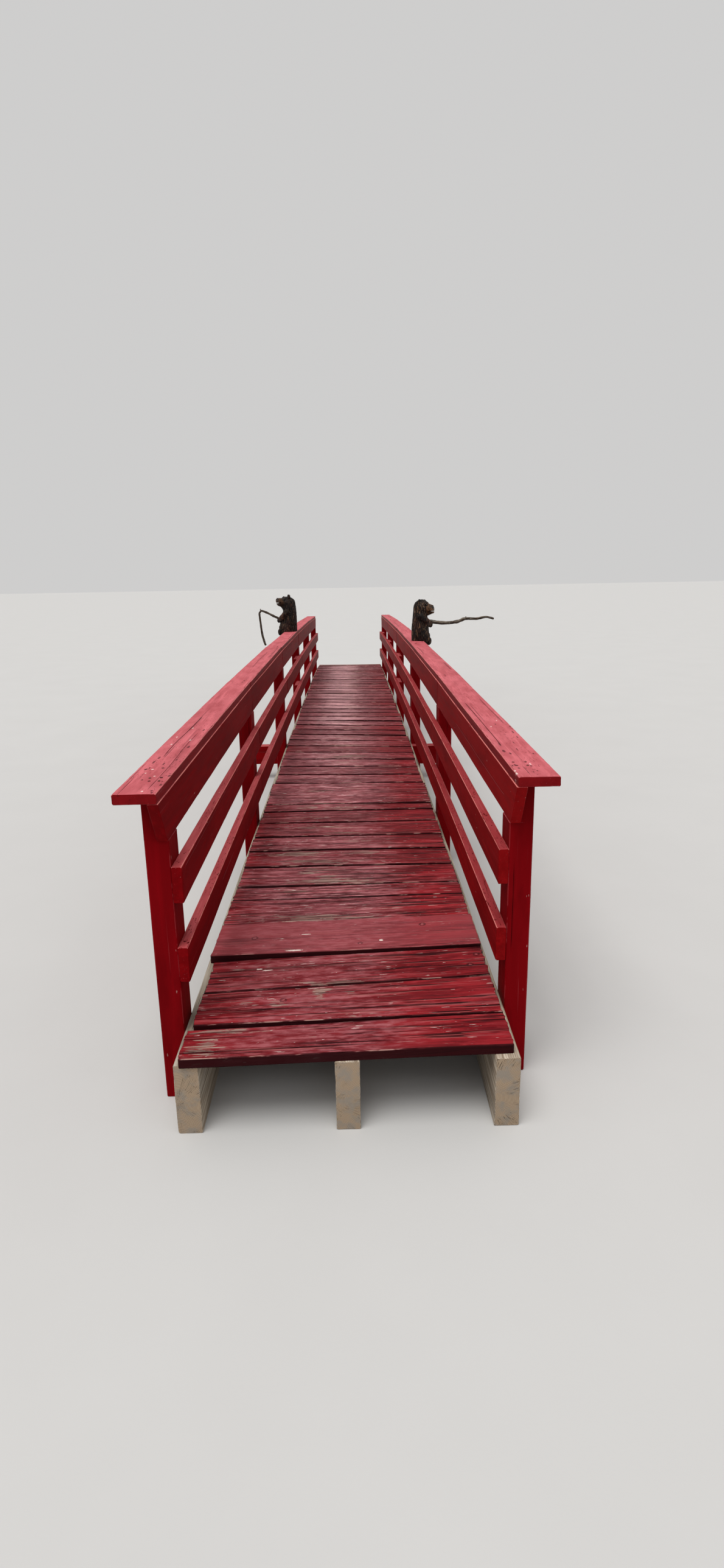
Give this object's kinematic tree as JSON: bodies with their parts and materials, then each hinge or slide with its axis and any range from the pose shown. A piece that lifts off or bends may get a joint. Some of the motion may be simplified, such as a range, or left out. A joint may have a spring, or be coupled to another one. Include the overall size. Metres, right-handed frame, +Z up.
{
  "type": "timber footbridge",
  "caption": "Long narrow cambered timber footbridge, plank deck on beams, post-and-rail sides with flat cap boards, carved bears sitting on the caps.",
  "frame": {"origin": "middle of the level seat under the near end of the middle beam, on the bridge's centre line", "axes": "+Z up, +Y along the bridge away from the end nearest the picture's viewpoint, +X to the right when facing along +Y"},
  "size_m": [2.5978, 12.916, 1.7591],
  "materials": {
    "red_paint": "satin",
    "cap_paint": "matte",
    "deck_paint": "matte",
    "bare_timber": "matte",
    "carved_log": "satin"
  },
  "bodies": {
    "root": {"beam_left": "bare_timber", "beam_middle": "bare_timber", "beam_right": "bare_timber", "deck_1": "deck_paint", "deck_2": "deck_paint", "deck_3": "deck_paint", "deck_4": "deck_paint", "deck_5": "deck_paint", "deck_6": "deck_paint", "post_left_1": "red_paint", "post_left_2": "red_paint", "post_left_3": "red_paint", "post_left_4": "red_paint", "post_left_5": "red_paint", "post_left_6": "red_paint", "post_right_1": "red_paint", "post_right_2": "red_paint", "post_right_3": "red_paint", "post_right_4": "red_paint", "post_right_5": "red_paint", "post_right_6": "red_paint", "fascia_left": "red_paint", "fascia_right": "red_paint", "cap_left": "cap_paint", "cap_right": "cap_paint", "mid_rail_left": "red_paint", "mid_rail_right": "red_paint", "low_rail_left": "red_paint", "low_rail_right": "red_paint", "splices_left": "red_paint", "splices_right": "red_paint", "cross_beam_left": "red_paint", "cross_beam_right": "red_paint", "bear_left": "carved_log", "bear_right": "carved_log", "pole_left": "carved_log", "pole_right": "carved_log"}
  },
  "joints": []
}
